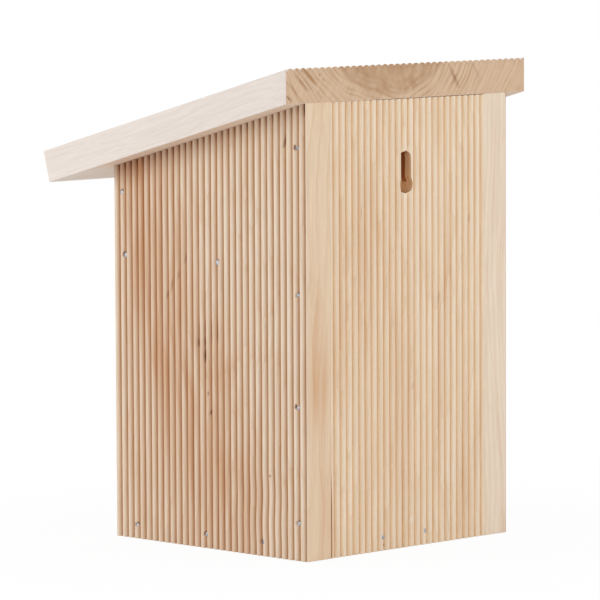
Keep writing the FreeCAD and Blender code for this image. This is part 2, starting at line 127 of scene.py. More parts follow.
def node(tree, kind, inputs=None, **settings):
    """Adds a shader node: settings are its properties, inputs maps a socket to a value or a linked socket."""
    made = tree.nodes.new("ShaderNode" + kind)
    for key, value in settings.items():
        setattr(made, key, value)
    for key, value in (inputs or {}).items():
        if isinstance(value, bpy.types.NodeSocket):
            tree.links.new(value, made.inputs[key])
        else:
            made.inputs[key].default_value = value
    return made


def blank_material(name):
    """A new material, and its empty node tree."""
    material = bpy.data.materials.new(name)
    material.use_nodes = True
    material.node_tree.nodes.clear()
    return material, material.node_tree


def maths(tree, operation, *operands, clamp=False):
    """The result of a Math node."""
    return node(tree, "Math", dict(enumerate(operands)), operation=operation, use_clamp=clamp).outputs[0]


def vector_maths(tree, operation, *operands):
    """The result of a VectorMath node: a number for a length or a dot product, and otherwise a vector."""
    made = node(tree, "VectorMath", dict(enumerate(operands)), operation=operation)
    return made.outputs["Value" if operation in ("LENGTH", "DOT_PRODUCT") else "Vector"]


def mapped(tree, value, low, high, to_low=0.0, to_high=1.0, curve="LINEAR"):
    """A value carried from the range low to high over to another range, and held at its ends."""
    ranges = {"Value": value, "From Min": low, "From Max": high, "To Min": to_low, "To Max": to_high}
    return node(tree, "MapRange", ranges, interpolation_type=curve).outputs[0]


def mixed(tree, share, below, above, blend="MIX"):
    """Two colours, each a hex code or a socket, mixed by the share of the second."""
    first, second = (linear(colour) if isinstance(colour, str) else colour for colour in (below, above))
    return node(tree, "Mix", {0: share, 6: first, 7: second}, data_type="RGBA", blend_type=blend).outputs[2]


def painted(tree, attribute):
    """The value of one of the mesh's attributes."""
    return node(tree, "Attribute", attribute_name=attribute).outputs["Fac"]


def tinted(tree, below, attribute, colour, blend="MIX"):
    """The colour below, mixed with another as strongly as one of the mesh's attributes says."""
    return mixed(tree, painted(tree, attribute), below, colour, blend)


def noise(tree, place, detail=2.0, scale=1.0):
    """The outputs of a noise: Fac is its strength, Color three of them as a vector."""
    return node(tree, "TexNoise", {"Vector": place, "Scale": scale, "Detail": detail}).outputs


def stretched_noise(tree, place, width, length, detail=2.0):
    """Noise in streaks that are width mm across the grain and length mm along it."""
    return noise(tree, vector_maths(tree, "MULTIPLY", place, (1 / width, 1 / width, 1 / length)), detail)


def coat(tree, height, strength, depth, inputs):
    """Ends a material: a surface with the given inputs, and a relief that follows the height."""
    relief = node(tree, "Bump", {"Height": height, "Strength": strength, "Distance": depth})
    surface = node(tree, "BsdfPrincipled", {"Normal": relief.outputs[0], **inputs})
    node(tree, "OutputMaterial", {"Surface": surface.outputs[0]})


def planed_pine(name, pale, ring, heart_and_shade, pith, ring_gap, ring_share, streaks, edge="#ffffff",
                groove="#ffffff", end_pale="#d8b995", end_dark="#b08660", grain_axis=(0, 0, 1),
                turn=(0, 0, 0)):
    """Planed pine: growth rings round the pith line, fibres along the grain, browner heartwood, sawn ends.

    The eye gets thin latewood lines, silky streaks along the boards, grooves warmed by a painted shade, and
    rings on the ends.
    turn lays the grain along Z, pith is the centre of the rings in mm after that turn, ring_gap their spacing
    in mm. ring_share and streaks are the strength of the latewood lines and of stray heartwood.
    """
    material, tree = blank_material(name)
    place = node(tree, "TexCoord")
    grain = node(tree, "Mapping", {
        "Vector": place.outputs["Object"], "Location": (-pith[0], -pith[1], 0.0), "Rotation": turn,
        "Scale": (1 / MM, 1 / MM, 1 / MM)}).outputs[0]

    # The stem's slow sway, up to 7 mm to each side over about 50 mm, keeps the rings from being true circles.
    sway = stretched_noise(tree, grain, 50, 170)["Color"]
    about_zero = vector_maths(tree, "SUBTRACT", sway, (0.5, 0.5, 0.5))
    grown = vector_maths(tree, "MULTIPLY_ADD", about_zero, (RING_SWAY, RING_SWAY, 0.0), grain)
    rings = node(tree, "TexWave", {
        "Vector": grown, "Scale": 2 * math.pi / (20 * ring_gap), "Distortion": 1.6, "Detail": 2.0,
        "Detail Scale": 0.8}, wave_type="RINGS", rings_direction="Z", wave_profile="SAW").outputs["Fac"]
    latewood = maths(tree, "POWER", rings, 3.5)
    wood = mixed(tree, maths(tree, "MULTIPLY", latewood, ring_share), pale, ring)
    wood = tinted(tree, wood, "edge", edge, "MULTIPLY")

    # Fibres 0.7 mm wide and 28 mm long, a little coarser than the real ones so that they show.
    fibre = stretched_noise(tree, grown, 0.7, 28, detail=3.0)["Fac"]
    shade = mapped(tree, fibre, *NOISE_SPAN, 0.94, 1.05)
    wood = node(tree, "HueSaturation", {"Value": shade, "Color": wood}).outputs[0]

    # On the sawn ends wide and narrow rings stand out, strongly here and weakly there, crossed by the saw's
    # marks, which are 1.2 mm wide and 18 mm long.
    leaning = node(tree, "VectorRotate", {"Vector": grain, "Axis": (0, 0, 1), "Angle": math.radians(33)})
    sawn = noise(tree, vector_maths(tree, "MULTIPLY", leaning.outputs[0], (1 / 1.2, 1 / 18, 1 / 60)))["Fac"]
    sawn_part = mapped(tree, sawn, *NOISE_SPAN, -0.06, 0.2)
    patch_part = mapped(tree, stretched_noise(tree, grain, 14, 60)["Fac"], 0.35, 0.65, 0.1, 0.6)
    flat = vector_maths(tree, "MULTIPLY", grown, (1 / ring_gap, 1 / ring_gap, 0))
    uneven = node(tree, "TexNoise", {"W": vector_maths(tree, "LENGTH", flat), "Scale": 1.0, "Detail": 2.0},
                  noise_dimensions="1D").outputs["Fac"]
    end_ring = mapped(tree, uneven, 0.42, 0.68)
    end_part = maths(tree, "MULTIPLY_ADD", end_ring, patch_part, sawn_part, clamp=True)
    facing = vector_maths(tree, "DOT_PRODUCT", place.outputs["Normal"], grain_axis)
    at_end = mapped(tree, maths(tree, "ABSOLUTE", facing), 0.55, 0.9)
    wood = mixed(tree, at_end, wood, mixed(tree, end_part, end_pale, end_dark))

    # Heartwood runs in streaks 5 mm wide and 110 mm long, mostly where the mesh's attribute calls for it. The
    # same colour paints the shade inside the back's opened seam.
    streak = stretched_noise(tree, grown, 5, 110, detail=3.0)["Fac"]
    gain = mapped(tree, streak, 0.32, 0.68, 0.6, 1.4)
    stray = mapped(tree, streak, 0.45, 0.75, 0.0, streaks)
    heart_part = maths(tree, "MULTIPLY_ADD", painted(tree, "heart_and_shade"), gain, stray, clamp=True)
    wood = mixed(tree, heart_part, wood, heart_and_shade)

    # Grooves take a painted shade: a warm tint that stands in for their shadow and the light bounced inside
    # them.
    # Scuffs are paler, and so is a painted highlight on the sides' rear arris. Cracks and bark pockets are
    # brown, and black where deep; the same tint paints shade under the roof, beside the nails and inside the
    # back's seam.
    wood = tinted(tree, wood, "groove", groove, "MULTIPLY")
    wood = tinted(tree, wood, "scuff_and_highlight", "#f6ecdf")
    wood = tinted(tree, wood, "flaw_and_shade", "#b0713f", "MULTIPLY")
    black_part = maths(tree, "POWER", painted(tree, "flaw_and_shade"), 2.0, clamp=True)
    wood = mixed(tree, black_part, wood, "#45190a")
    coat(tree, fibre, 0.3, 0.12 * MM, {
        "Base Color": wood, "Roughness": mapped(tree, fibre, *NOISE_SPAN, 0.55, 0.7), "IOR": 1.45,
        "Specular IOR Level": 0.25})
    return material


def solid_boxes(name):
    """Lowest and highest corners of each separate solid in a CAD node.

    Corners at one spot count as one point. The lowest point number spreads over each triangle until it stays.
    """
    mesh = frame["nodes"][name].data
    points = np.array([vertex.co[:] for vertex in mesh.vertices])
    corners = np.array([face.vertices[:] for face in mesh.polygons])
    spots, number = np.unique(points.round(6), axis=0, return_inverse=True)
    triangles = number.ravel()[corners]
    label, last = np.arange(len(spots)), None
    while last is None or (label != last).any():
        last = label
        label = last.copy()
        np.minimum.at(label, triangles, last[triangles].min(1, keepdims=True))
        label = label[label]
    return [(spots[label == k].min(0), spots[label == k].max(0)) for k in np.unique(label)]


def steps_along(length, spacing, extra=()):
    """Places along a board: even steps, extra ones, and close ones at both ends to round the edges."""
    even = np.linspace(EDGE_EASE, length - EDGE_EASE, max(2, round(length / spacing) + 1))
    close = EDGE_EASE * EDGE_SHARES
    within = np.clip(extra, EDGE_EASE, length - EDGE_EASE)
    places = np.sort(np.concatenate([close, length - close, even, within]))
    return places[np.append(np.diff(places) > LEAST_STEP, True)]


def thinned(places):
    """The places in order, without those that lie too close above another."""
    kept = []
    for place in np.sort(places):
        if not kept or place - kept[-1] > ROWS_APART:
            kept.append(place)
    return np.array(kept)


def rib_columns(length, first_groove):
    """Places across a reeded face, with one exactly in each groove and the rest closer together near it."""
    grooves = first_groove + RIB_PITCH * np.arange(-1, math.ceil(length / RIB_PITCH) + 1)
    places = (grooves[:, None] + RIB_PITCH / 2 * GROOVE_SHARES).ravel()
    return places[(places > 0) & (places < length)]


def board_shell(across, along, through, rim_steps=EDGE_STEPS):
    """The outside of a board as a lattice whose three lists of steps start at 0, with the edges rounded.

    A point nearer than the ease to more than one face moves onto a ball of that radius inside the corner.
    The plain face at the start of through is one flat face inside its rim. Returns points, steps and faces.
    """
    inside = slice(rim_steps, -rim_steps)
    counts = (len(across), len(along), len(through))
    number = np.arange(counts[0] * counts[1] * counts[2]).reshape(counts)
    faces = []
    for axis in range(3):
        for end in (0, -1):
            sheet = np.take(number, end, axis)
            quads = np.stack([sheet[:-1, :-1], sheet[1:, :-1], sheet[1:, 1:], sheet[:-1, 1:]], -1)
            loops = [quads.reshape(-1, 4)]
            if axis == 2 and end == 0:
                rim = np.ones(quads.shape[:2], bool)
                rim[inside, inside] = False
                flat = sheet[inside, inside]
                border = np.concatenate([flat[:-1, 0], flat[-1, :-1], flat[:0:-1, -1], flat[0, :0:-1]])
                loops = [quads[rim], border[None]]
            faces += loops if (end == 0) == (axis == 1) else [loop[:, ::-1] for loop in loops]
    used = np.unique(np.concatenate([loop.ravel() for loop in faces]))
    step = np.stack(np.unravel_index(used, counts), 1)
    points = np.stack([across[step[:, 0]], along[step[:, 1]], through[step[:, 2]]], 1)
    core = np.clip(points, EDGE_EASE, np.array([across[-1], along[-1], through[-1]]) - EDGE_EASE)
    out = points - core
    reach = np.linalg.norm(out, axis=1, keepdims=True)
    rounded = core + out * EDGE_EASE / np.maximum(reach, LEAST_LENGTH)
    return rounded, step, [np.searchsorted(used, loop) for loop in faces]


def reeding(across, first_groove, chance):
    """A reeded face at each place: its share of painted groove shade, its depth below the crests, and its
    rib.

    Each flank is a circle's arc from the flat crest down to the groove. Wear takes a little off some crests.
    """
    run = (RIB_PITCH - RIB_CREST) / 2
    chord = math.hypot(run, RIB_RISE)
    reach = math.sqrt(RIB_RADIUS**2 - (chord / 2) ** 2)
    aside = run / 2 + reach * RIB_RISE / chord
    below = RIB_RISE / 2 + reach * run / chord
    off_groove = np.abs((across - first_groove + RIB_PITCH / 2) % RIB_PITCH - RIB_PITCH / 2)
    sharp = below - np.sqrt(RIB_RADIUS**2 - (aside - np.minimum(off_groove, run)) ** 2)
    rib = np.floor((across - first_groove) / RIB_PITCH).astype(int) + 1
    worn = np.maximum(sharp, chance.uniform(0, CREST_LOSS, rib.max() + 1)[rib])
    return np.clip(sharp / RIB_RISE, 0, 1) ** GROOVE_SHADE_SPREAD, worn, rib


def soft_step(value, low, high):
    """0 below low, 1 above high, and a smooth S between."""
    share = np.clip((value - low) / (high - low), 0, 1)
    return share * share * (3 - 2 * share)


def leaned(height, level, top, new_top):
    """Heights stretched above a level, so that the top comes to lie at a new one."""
    return np.where(height < level, height, level + (height - level) * (new_top - level) / (top - level))


def dented(depth, across, along, nails, chance):
    """Depth of a face with a flat-bottomed dent pressed in round each nail, a little off its middle."""
    for at, height in nails:
        aside, above = chance.uniform(-NAIL_DENT_ASIDE, NAIL_DENT_ASIDE, 2)
        off = np.hypot(across - at - aside, along - height - above)
        depth = np.maximum(depth, NAIL_DENT * (1 - soft_step(off, *NAIL_DENT_SPAN)))
    return depth


def line_marks(across, along, lines):
    """How strongly each point lies on a short line: a bell across it, fading towards its two ends.

    A line is its place across, its height, its length and width in mm, its strength, and its drift to the
    side for each mm of height.
    """
    marks = np.zeros(len(across))
    for at, height, length, width, strength, drift in lines:
        rise = along / MM - height
        off_line = (across / MM - at - drift * rise) / width
        to_end = np.clip(1 - np.abs(rise) / (length / 2), 0, 1)
        marks = np.maximum(marks, strength * np.exp(-off_line**2) * to_end**0.5)
    return marks


def lobes(points, centres):
    """Sum of soft blots: each has a centre, a half size along x, y and z in mm, and a strength."""
    total = np.zeros(len(points))
    for centre, size, strength in centres:
        off = (points / MM - np.array(centre)) / np.array(size)
        total += strength * np.exp(-(off**2).sum(1))
    return total


def outward(points, faces):
    """The faces, with their corners in reverse order if the volume that they enclose comes out negative."""
    volume = 0.0
    for loop in faces:
        for k in range(1, loop.shape[1] - 1):
            volume += (points[loop[:, 0]] * np.cross(points[loop[:, k]], points[loop[:, k + 1]])).sum()
    return faces if volume > 0 else [loop[:, ::-1] for loop in faces]


def finished(name, materials, points, faces, attributes=None):
    """A mesh object at the origin, smooth up to the sharp angle, with attributes given by point.

    faces holds arrays of corner numbers, a row for each face; all rows of one array have the same length.
    """
    rows = [corners for loop in outward(points, faces) for corners in loop.tolist()]
    mesh = bpy.data.meshes.new(name)
    mesh.from_pydata(points.tolist(), [], rows, shade_flat=False)
    for key, values in (attributes or {}).items():
        layer = mesh.attributes.new(key, "FLOAT", "POINT")
        layer.data.foreach_set("value", np.ascontiguousarray(values, np.float32))
    mesh.set_sharp_from_angle(angle=SHARP_ANGLE)
    for material in materials:
        mesh.materials.append(material)
    piece = bpy.data.objects.new(name, mesh)
    bpy.context.scene.collection.objects.link(piece)
    return piece


def stands_for(piece, node_name):
    """Fixes a piece to the box in place of a CAD node."""
    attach(piece, "root")
    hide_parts(node_name)


def reeded_side(name, node_name, nails_name, hand, first_groove, flaws, hearts, edge_share, wander, seed):
    """A side panel as a lattice: across runs from the front, along runs up, through runs out to the ribs.

    Above half the front's height the rows lean to follow the sloped top. Nails press dents with a line of
    painted shade beside them, flaws sink in, and the ribs wander: wander gives the place across, the height,
    the reach, the wave and the swing in mm. edge_share is how strongly the plain edges take the material's
    edge colour.
    """
    low, high = np.array(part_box(node_name))
    thick, deep, tall = high - low
    slope = math.tan(ROOF_SLOPE)
    front_tall = tall - deep * slope
    level = front_tall / 2
    nails = [((a + b) / 2 - low)[1:] for a, b in solid_boxes(nails_name)]
    # Lines of painted shade beside the nails, on alternate sides and a little above.
    nail_shade_lines = [(at / MM + NAIL_RIM_ASIDE * (-1) ** k, height / MM + NAIL_RIM_ABOVE, *NAIL_RIM_LINE)
            for k, (at, height) in enumerate(nails)]
    rows = [leaned(height, level, front_tall + at * slope, tall) + DENT_ROWS for at, height in nails]
    rows += [leaned(height * MM, level, front_tall + at * MM * slope, tall) + length * MM * FLAW_ROWS
             for at, height, length, *_ in flaws]
    columns = [at + DENT_COLUMNS for at, _ in nails]
    across = steps_along(deep, deep, np.concatenate([rib_columns(deep, first_groove), *columns]))
    along = steps_along(tall, BOARD_STEP, thinned(np.concatenate(rows)))
    through = steps_along(thick, BOARD_STEP, thick + ARRIS_ROWS)
    points, step, faces = board_shell(across, along, through)
    u, v, w = points.T
    height = leaned(v, level, tall, front_tall + u * slope)
    on_face = step[:, 2] == step[:, 2].max()
    at_rear = step[:, 0] == step[:, 0].max()
    chance = np.random.default_rng(seed)
    groove, depth, rib = reeding(across[step[:, 0]], first_groove, chance)
    # A painted highlight along the arris of the rear edge.
    arris_highlight = ARRIS_SHARE * np.exp(-(((thick - w) / ARRIS_WIDTH) ** 2)) * at_rear
    marks = line_marks(u, height, [*flaws, *nail_shade_lines]) * on_face
    w = w - (dented(depth, u, height, nails, chance) + FLAW_DEPTH * marks) * w / thick

    # The wander is a wave up the ribs that fades away from its centre and is held still at both edges.
    at, centre, reach, wave, swing = wander
    off_centre = height / MM - centre
    fading = np.exp(-(((u / MM - at) / reach) ** 2) - (off_centre / (WANDER_WAVES * wave)) ** 2)
    shaken = fading * np.sin(np.pi * off_centre / wave)
    u = u + swing * MM * shaken * np.sin(np.pi * np.clip(u / deep, 0, 1)) ** 0.5
    x = low[0] + w if hand > 0 else high[0] - w
    placed = np.stack([x, low[1] + u, low[2] + height], 1)
    rib_tone = chance.uniform(0, RIB_TONE, rib.max() + 1)[rib]
    # Painted shade under the roof: in the grooves near the top, and over the face below the roof, fading
    # towards the rear.
    to_roof = height - front_tall - u * slope
    under_roof = ROOF_SHADE * soft_step(to_roof, -ROOF_SHADE_REACH, 0)
    eave_shade = EAVE_SHADE * soft_step(to_roof, -EAVE_REACH, 0) * (1 - EAVE_FADE * u / deep)
    # The grooves take a painted shade.
    piece = finished(name, [side_pine], placed, faces, {
        "groove": on_face * groove, "flaw_and_shade": marks + on_face * (groove * under_roof + eave_shade),
        "edge": edge_share * ~on_face, "heart_and_shade": lobes(placed, hearts) + on_face * rib_tone, "scuff_and_highlight": arris_highlight})
    stands_for(piece, node_name)


side_pine = planed_pine(
    "planed_pine_sides", pale="#eeddc8", ring="#d6ad83", heart_and_shade="#c98d58", pith=(22, 8), ring_gap=3.4,
    ring_share=0.3, streaks=0.2, edge="#faf1e6", groove="#d0a46c")
# Cracks, bark pockets, a pin hole, and chips on the rear edge. Each is a line as line_marks takes it.
RIGHT_FLAWS = (
    (66.5, 113.2, 6, 0.65, 0.9, 0.0), (71.6, 113.6, 8, 0.7, 0.85, 0.0), (71.7, 106.4, 9, 0.8, 1.2, 0.0),
    (66.8, 119.5, 10, 0.6, 0.35, 0.0), (71.7, 121, 11, 0.7, 0.45, 0.0), (76.7, 119.5, 14, 0.7, 0.4, 0.0),
    (81.6, 119.5, 12, 0.7, 0.4, 0.0), (72.2, 97, 9, 0.35, 0.6, -0.08), (74.3, 85.6, 3, 0.5, 0.8, 0.0),
    (75.8, 75.4, 4, 0.45, 0.8, 0.2), (122.1, 44.3, 2, 0.5, 0.85, 0.0), (134.2, 226.4, 9, 0.55, 0.85, 0.2),
    (56.6, 159, 7, 0.35, 0.5, 0.1), (51.3, 149.3, 5, 0.35, 0.5, 0.1), (46.1, 143.4, 9, 0.4, 0.55, 0.1),
    (42, 138.2, 6, 0.4, 0.5, 0.1), (149.0, 243, 7, 0.6, 0.6, 0.05), (149.6, 194, 2.5, 0.3, 0.45, 0.0),
    (149.6, 178, 3, 0.3, 0.4, 0.0))
LEFT_FLAWS = ((40, 60, 9, 0.4, 0.5, 0.1), (96, 150, 7, 0.4, 0.5, -0.1), (110, 90, 3, 0.5, 0.7, 0.0))
# Browner wood. Each is a blot as lobes takes it.
RIGHT_HEARTS = (
    ((80, -52, 185), (8, 22, 45), 0.27), ((80, 4, 105), (8, 12, 30), 0.22), ((80, 0, 40), (8, 30, 45), 0.3),
    ((80, 32, 40), (8, 14, 50), 0.11), ((80, -38, 112), (8, 26, 60), 0.37),
    ((80, -50, 30), (8, 28, 45), 0.06), ((70, 75, 100), (9, 4, 30), 0.4),
    ((80, -57, 210), (8, 9, 13), 0.35), ((65, 75, 25), (4, 4, 22), 0.25))
LEFT_HEARTS = (
    ((-80, 20, 150), (8, 25, 70), 0.3), ((-80, -40, 70), (8, 20, 60), 0.28),
    ((-78.6, 75, 4), (1.4, 3, 9), 0.5))
reeded_side(
    "reeded_right_side", "right_side_panel", "right_side_nails", hand=1, first_groove=RIGHT_FIRST_GROOVE,
    flaws=RIGHT_FLAWS, hearts=RIGHT_HEARTS, edge_share=1.0, wander=(121, 26, 26, 17, 0.4), seed=3)
reeded_side(
    "reeded_left_side", "left_side_panel", "left_side_nails", hand=-1, first_groove=LEFT_FIRST_GROOVE,
    flaws=LEFT_FLAWS, hearts=LEFT_HEARTS, edge_share=0.0, wander=(40, 180, 24, 20, 0.4), seed=5)


# Back panel
# A reeded board let in flush between the sides, nailed from both, with a keyhole routed near the top.
# At the lower corner by the right side the seam has opened, and under the roof a hairline gap is left.
BACK_FIRST_GROOVE = 2.45 * MM
BACK_THROUGH_STEP = 3 * MM
BACK_SEED = 11
# Above this share of the height the rows follow the sloped top.
BACK_LEVEL = 0.8
# The seam: how far it opens, its height, its taper, its depth, the strip that gives way, and the painted
# shade on the edge inside it.
SEAM_GAP = 0.8 * MM
SEAM_HEIGHT = 54 * MM
SEAM_TAPER = 28 * MM
SEAM_DEPTH = 8 * MM
SEAM_STRIP = np.array([2.6, 0.3]) * MM
SEAM_SHADE = 0.15
SEAM_DARK_FROM = 0.3
# The gap under the roof, which closes by most of its width between two places across.
ROOF_GAP = 0.3 * MM
ROOF_GAP_LOSS = 0.8
ROOF_GAP_SPAN = (70 * MM, 100 * MM)
# The keyhole: the centre of its round entry at x and z, its radii, and its depths from the rib crests.
KEYHOLE_AT = (1.5 * MM, 199.8 * MM)
KEYHOLE_ENTRY = 5.0 * MM
KEYHOLE_SLOT = 3.7 * MM
KEYHOLE_TRAVEL = 14.8 * MM
KEYHOLE_LIP = 4.7 * MM
KEYHOLE_DEPTH = 7.7 * MM
KEYHOLE_CORNERS = 96
# Behind the lip the cuts are a hair narrower than the entry, so that no two walls of the cutters coincide.
UNDERCUT_RADIUS = 0.97 * KEYHOLE_ENTRY
PLUNGE_RADIUS = 0.99 * KEYHOLE_ENTRY
LEAST_SINE = 1e-6
FULL_TURN = 2 * math.pi
CUTTER_OVERRUN = 2 * MM
CUTTER_OVERLAP = 0.1 * MM
BACK_FLAWS = (
    (80.6, 3.1, 2.4, 0.6, 0.9, 0.0), (36.2, 135.5, 9, 0.5, 0.3, -0.1), (11.5, 179, 7, 0.4, 0.28, -0.1),
    (51.2, 160, 8, 0.4, 0.25, 0.0), (97.8, 186, 9, 0.4, 0.28, 0.0), (17.5, 33, 12, 0.4, 0.25, -0.1),
    (14.3, 22, 12, 0.4, 0.25, -0.1), (57.5, 89, 5, 0.5, 0.4, -0.3))
BACK_SCUFFS = (
    (30.1, 39.4, 13, 0.4, 0.7, 0.03), (25.6, 38, 12, 0.35, 0.7, 0.0), (59.3, 15, 5, 0.5, 0.8, -0.2),
    (46.5, 4.4, 4, 0.5, 0.7, 0.0), (5.9, 13, 4, 0.4, 0.6, 0.0))
BACK_HEARTS = (
    ((-31, 75, 150), (3.5, 6, 22), 0.28), ((-26, 75, 95), (3, 6, 35), 0.24), ((2, 75, 60), (9, 6, 70), 0.12),
    ((55, 75, 120), (6, 6, 60), 0.12), ((-46, 75, 30), (8, 6, 30), 0.15), ((34, 75, 160), (26, 6, 100), 0.17))


def reeded_back():
    """The back panel as a lattice: across runs along x, along runs up, through runs out to the ribs at +y."""
    low, high = np.array(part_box("back_panel"))
    wide, thick, tall = high - low
    level = BACK_LEVEL * tall
    nails = [((a + b) / 2 - low)[[0, 2]] for a, b in solid_boxes("rear_nails")]
    rows = [height + DENT_ROWS for _, height in nails]
    rows += [(height + length * FLAW_ROWS) * MM for _, height, length, *_ in (*BACK_FLAWS, *BACK_SCUFFS)]
    columns = [at + DENT_COLUMNS for at, _ in nails]
    across = steps_along(wide, wide, np.concatenate([rib_columns(wide, BACK_FIRST_GROOVE), *columns]))
    along = steps_along(tall, BOARD_STEP, np.concatenate(rows))
    points, step, faces = board_shell(across, along, steps_along(thick, BACK_THROUGH_STEP))
    u, v, w = points.T
    on_face = step[:, 2] == step[:, 2].max()
    chance = np.random.default_rng(BACK_SEED)
    groove, depth, rib = reeding(across[step[:, 0]], BACK_FIRST_GROOVE, chance)
    marks = line_marks(u, v, BACK_FLAWS) * on_face
    w = w - (dented(depth, u, v, nails, chance) + FLAW_DEPTH * marks) * w / thick
    gap = ROOF_GAP * (1 - ROOF_GAP_LOSS * soft_step(u, *ROOF_GAP_SPAN))
    top = tall - gap - (thick - w) * math.tan(ROOF_SLOPE)
    height = leaned(v, level, tall, top)
    near_face = np.clip((w - thick + SEAM_DEPTH) / SEAM_DEPTH, 0, 1)
    opened = soft_step(SEAM_HEIGHT - height, 0, SEAM_TAPER) * near_face
    u = u - SEAM_GAP * opened * soft_step(u, *(wide - SEAM_STRIP))
    # Painted shade on the board's edge inside the opened seam, brown from the heartwood colour and a little
    # flaw tint.
    seam_painted_shade = soft_step(opened, 0, SEAM_DARK_FROM) * (step[:, 0] == step[:, 0].max())
    placed = np.stack([low[0] + u, low[1] + w, low[2] + height], 1)
    rib_tone = chance.uniform(0, RIB_TONE, rib.max() + 1)[rib]
    # The grooves take a painted shade.
    return finished("reeded_back", [back_pine, routed_pine, undercut_shade_pine], placed, faces, {
        "groove": on_face * groove, "flaw_and_shade": marks + SEAM_SHADE * seam_painted_shade,
        "scuff_and_highlight": line_marks(u, v, BACK_SCUFFS) * on_face,
        "heart_and_shade": lobes(placed, BACK_HEARTS) + on_face * rib_tone + seam_painted_shade})


def turned(radius, along, turns):
    """A closed shape round the y axis: radius and along by station and angle, with a point at each end.

    Returns points and faces: quads between the stations, and a fan of triangles at each end.
    """
    stations = radius.shape[0]
    angle = np.linspace(0, FULL_TURN, turns, endpoint=False)
    along = np.broadcast_to(along, radius.shape)
    ring = np.stack([radius * np.cos(angle), along, radius * np.sin(angle)], -1)
    ends = np.array([[0, ring[0, :, 1].mean(), 0], [0, ring[-1, :, 1].mean(), 0]])
    number = np.arange(stations * turns).reshape(stations, turns)
    beside = np.roll(number, -1, 1)
    quads = np.stack([number[:-1], beside[:-1], beside[1:], number[1:]], -1).reshape(-1, 4)
    first = np.stack([np.full(turns, stations * turns), beside[0], number[0]], 1)
    last = np.stack([np.full(turns, stations * turns + 1), number[-1], beside[-1]], 1)
    return np.concatenate([ring.reshape(-1, 3), ends]), [quads, first, last]


def keyhole_cutter(name, slot, entry, outer, inner, material):
    """A prism along y between two depths: a round-ended slot above the entry's centre, or a circle round it.

    slot is half the slot's width and entry the circle's radius. At each angle from straight up the outline is
    as far from the centre as the farther of the two.
    """
    angle = np.linspace(0, FULL_TURN, KEYHOLE_CORNERS, endpoint=False)
    side = slot / np.maximum(np.abs(np.sin(angle)), LEAST_SINE)
    inside = np.maximum(slot**2 - (KEYHOLE_TRAVEL * np.sin(angle)) ** 2, 0)
    cap = KEYHOLE_TRAVEL * np.cos(angle) + np.sqrt(inside)
    upper = np.where(side * np.cos(angle) <= KEYHOLE_TRAVEL, side, cap)
    outline = np.maximum(np.where(np.cos(angle) > 0, upper, slot), entry)
    points, faces = turned(np.stack([outline, outline]), np.array([[outer], [inner]]), KEYHOLE_CORNERS)

    # turned starts its angles at x and these start at z, so the two change places.
    placed = points[:, [2, 1, 0]] + [KEYHOLE_AT[0], 0, KEYHOLE_AT[1]]
    return finished(name, [material], placed, faces)


def cut_away(piece, cutters):
    """Takes the cutters' solids out of a piece with Boolean modifiers, applied at once, and removes them."""
    for cutter in cutters:
        cut = piece.modifiers.new(cutter.name, "BOOLEAN")
        cut.object = cutter
        cut.operation = "DIFFERENCE"
        cut.solver = "EXACT"
        cut.material_mode = "TRANSFER"
    bpy.context.view_layer.update()
    cut_piece = piece.evaluated_get(bpy.context.evaluated_depsgraph_get())
    cut_mesh = bpy.data.meshes.new_from_object(cut_piece)
    piece.modifiers.clear()
    cut_mesh.set_sharp_from_angle(angle=SHARP_ANGLE)
    piece.data = cut_mesh
    for cutter in cutters:
        bpy.data.objects.remove(cutter)


# One board: planed outside, fresh and yellow where the keyhole was routed, and darkened behind the lip by a
# painted shade.
BACK_BOARD = {"pith": (-12, 10), "ring_gap": 3.6, "ring_share": 0.3}
back_pine = planed_pine(
    "planed_pine_back", pale="#f2e0c9", ring="#dcb88b", heart_and_shade="#d0a06d", streaks=0.15, groove="#fae8cc",
    **BACK_BOARD)
routed_pine = planed_pine(
    "routed_pine_keyhole", pale="#ecc79b", ring="#bb8c5f", heart_and_shade="#bb8c5f", streaks=0.2, end_pale="#d3ab7e",
    end_dark="#a5774d", **BACK_BOARD)
# A darker pine that paints the shade in the undercut behind the keyhole's lip.
undercut_shade_pine = planed_pine(
    "undercut_pine_painted_shade", pale="#bb7a48", ring="#945a32", heart_and_shade="#945a32", streaks=0.2,
    end_pale="#c99565", end_dark="#a87649", **BACK_BOARD)
back = reeded_back()
rear_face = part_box("back_panel")[1][1]
lip = rear_face - KEYHOLE_LIP
floor_of_cut = rear_face - KEYHOLE_DEPTH
cut_away(back, [
    keyhole_cutter("keyhole_slot", KEYHOLE_SLOT, KEYHOLE_ENTRY, rear_face + CUTTER_OVERRUN, lip, routed_pine),
    keyhole_cutter("keyhole_undercut", UNDERCUT_RADIUS, 0, lip + CUTTER_OVERLAP, floor_of_cut, undercut_shade_pine),
    keyhole_cutter("keyhole_entry", 0, PLUNGE_RADIUS, rear_face + CUTTER_OVERRUN,
                   floor_of_cut - CUTTER_OVERLAP, routed_pine)])
stands_for(back, "back_panel")


# Bottom board and shelf
# Two plain planed pine boards between the sides, held by nails through them, with the grain running across.
PLAIN_STEP = 8 * MM
GRAIN_ACROSS = {"grain_axis": (1, 0, 0), "turn": (0, math.pi / 2, 0)}
plain_pine = planed_pine(
    "planed_pine_boards", pale="#ead6bb", ring="#d2ab7e", heart_and_shade="#c99a6c", pith=(-60, 20), ring_gap=3.2,
    ring_share=0.4, streaks=0.25, **GRAIN_ACROSS)


def plain_shell(node_name):
    """Points and faces of a plain board in a CAD node's box: the lattice of its six faces."""
    low, high = np.array(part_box(node_name))
    points, _, faces = board_shell(*(steps_along(side, PLAIN_STEP) for side in high - low))
    return points + low, faces


for plank_name, plank_node in (("bottom_plank", "bottom_board"), ("shelf_plank", "shelf")):
    stands_for(finished(plank_name, [plain_pine], *plain_shell(plank_node)), plank_node)


